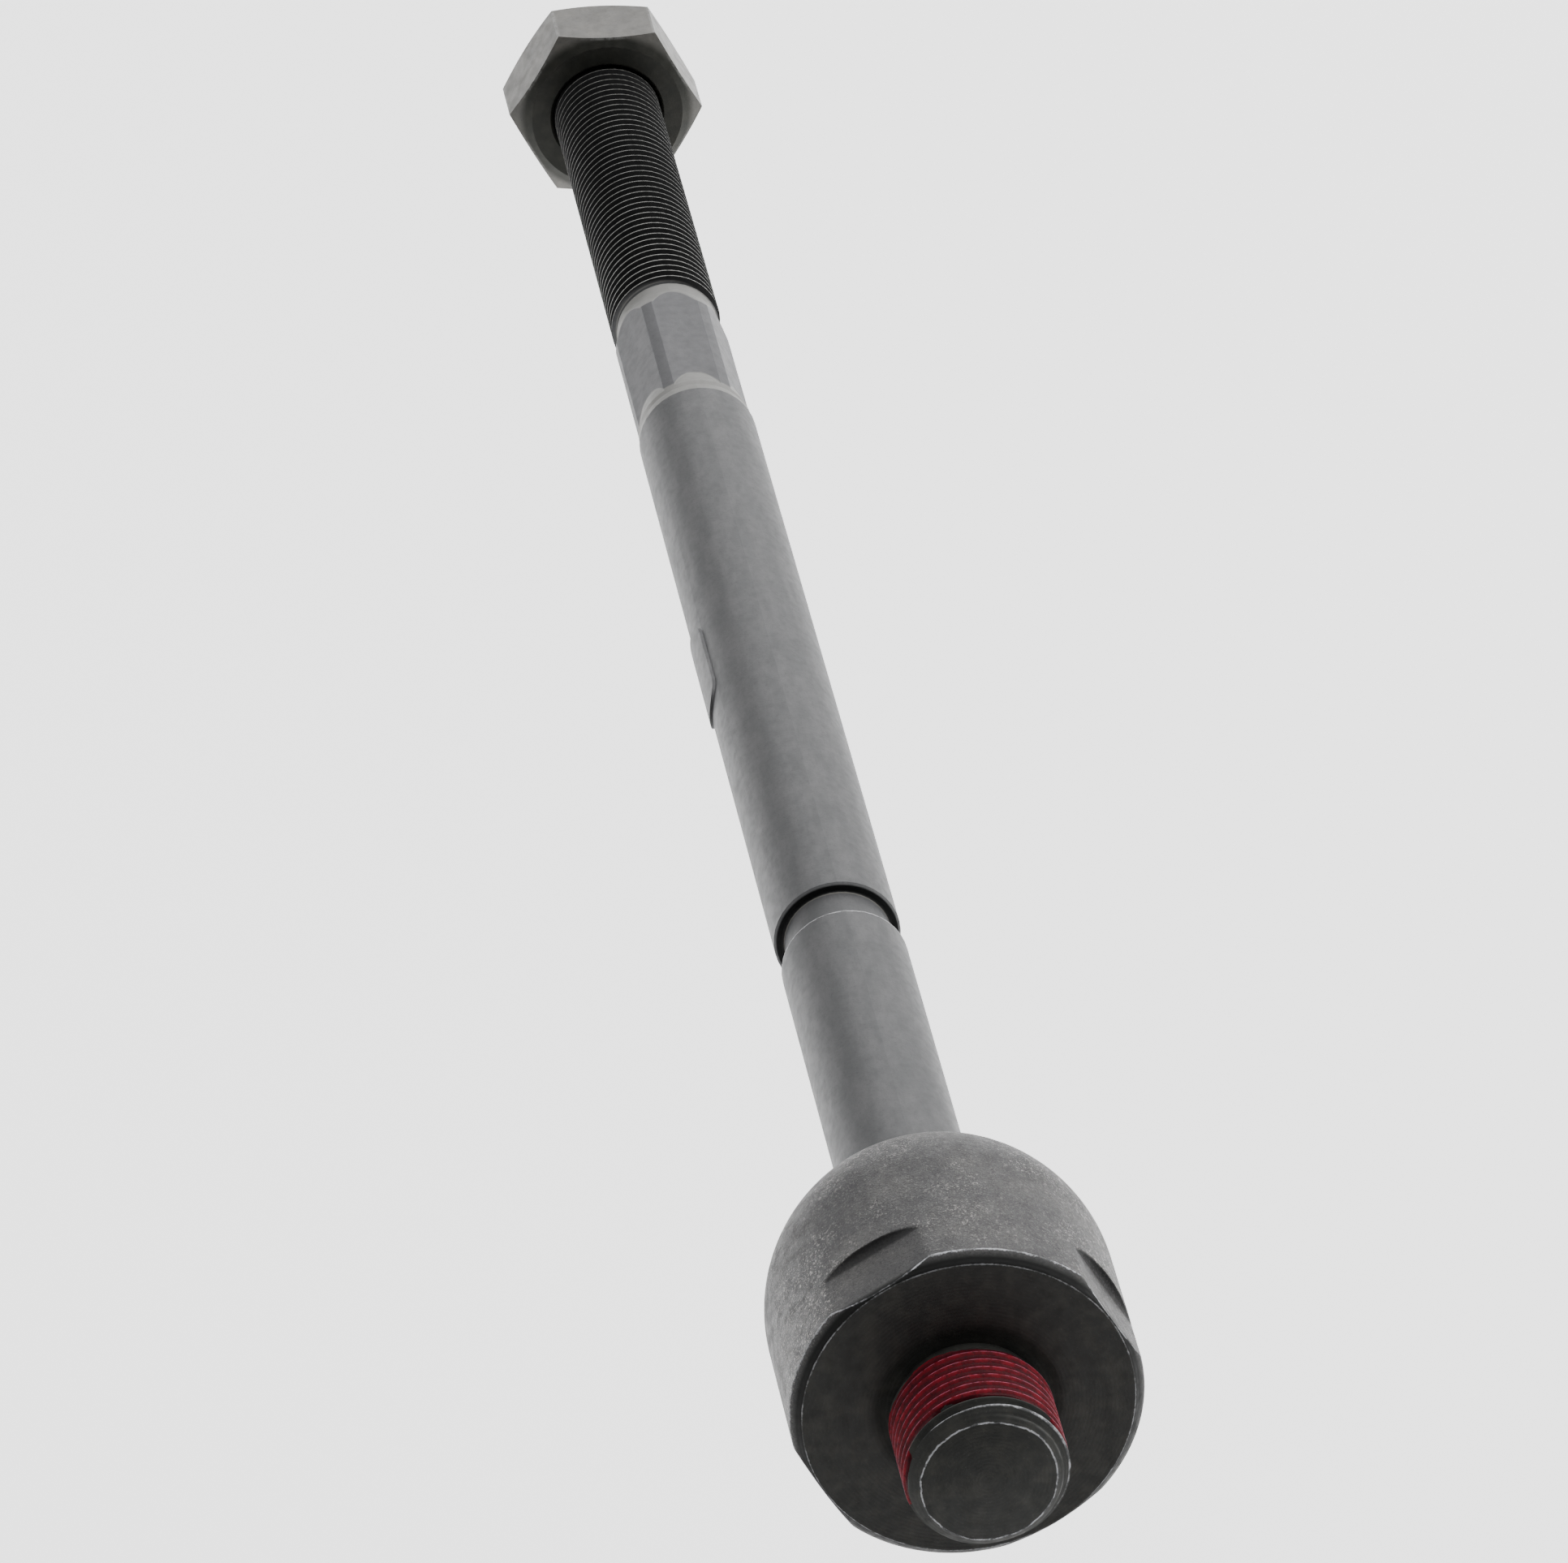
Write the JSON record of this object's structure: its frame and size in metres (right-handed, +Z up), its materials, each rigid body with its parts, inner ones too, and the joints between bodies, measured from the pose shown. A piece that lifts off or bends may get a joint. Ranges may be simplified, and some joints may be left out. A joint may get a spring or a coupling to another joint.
{
  "type": "inner tie rod",
  "caption": "Straight steering link with a ball in a forged socket at one end, a threaded mounting stud, spanner flats, a long adjusting thread and a hexagonal lock nut.",
  "frame": {"origin": "centre of the flat face of the socket housing that seats on the steering rack", "axes": "+X along the rod's axis, from the mounting stud to the jam nut; +Z up; +Y to the side that carries the raised pad"},
  "size_m": [0.3488, 0.0384, 0.0384],
  "materials": {
    "forged_steel": "oiled black-grey forging scale with bright worn edges",
    "threadlocker": "cured crimson threadlocker, slightly grainy",
    "spring_steel": "tempered spring steel, lightly oiled",
    "plain_steel": "turned and ground steel",
    "acetal": "moulded natural acetal, waxy",
    "grease": "lithium grease, translucent amber",
    "rod_steel": "phosphated and oiled rod steel",
    "nut_steel": "satin warm grey nut steel",
    "thread_oil": "clear amber oil"
  },
  "bodies": {
    "housing": {"socket_housing": "forged_steel", "threadlocker_patch": "threadlocker", "disc_spring": "spring_steel", "thrust_washer": "plain_steel", "rear_seat": "acetal", "front_seat": "acetal", "retaining_ring": "plain_steel", "grease_reservoir": "grease"},
    "film_rear": {"grease_film_rear": "grease"},
    "film_front": {"grease_film_front": "grease"},
    "rod": {"tie_rod": "rod_steel"},
    "nut_carrier": {"thread_oil_bead": "thread_oil"},
    "nut": {"jam_nut": "nut_steel"}
  },
  "joints": [
    {"name": "ball_swing_vertical", "type": "hinge", "parent": "housing", "child": "film_rear", "pos_m": [0.026, 0, 0], "axis": [0, 1, 0], "range_deg": [-17.5, 17.5]},
    {"name": "ball_swing_sideways", "type": "hinge", "parent": "film_rear", "child": "film_front", "pos_m": [0.026, 0, 0], "axis": [0, 0, 1], "range_deg": [-17.5, 17.5]},
    {"name": "ball_spin", "type": "hinge", "parent": "film_front", "child": "rod", "pos_m": [0.026, 0, 0], "axis": [1, 0, 0], "continuous": true},
    {"name": "nut_travel", "type": "slide", "parent": "rod", "child": "nut_carrier", "axis": [1, 0, 0], "range_m": [-0.057, 0.006]},
    {"name": "nut_spin", "type": "hinge", "parent": "nut_carrier", "child": "nut", "pos_m": [0.3216, 0, 0], "axis": [1, 0, 0], "range_deg": [-13680, 1440]}
  ],
  "couplings": [
    {"joint": "nut_travel", "follows": "nut_spin", "m_per_rad": 0.00023873}
  ]
}
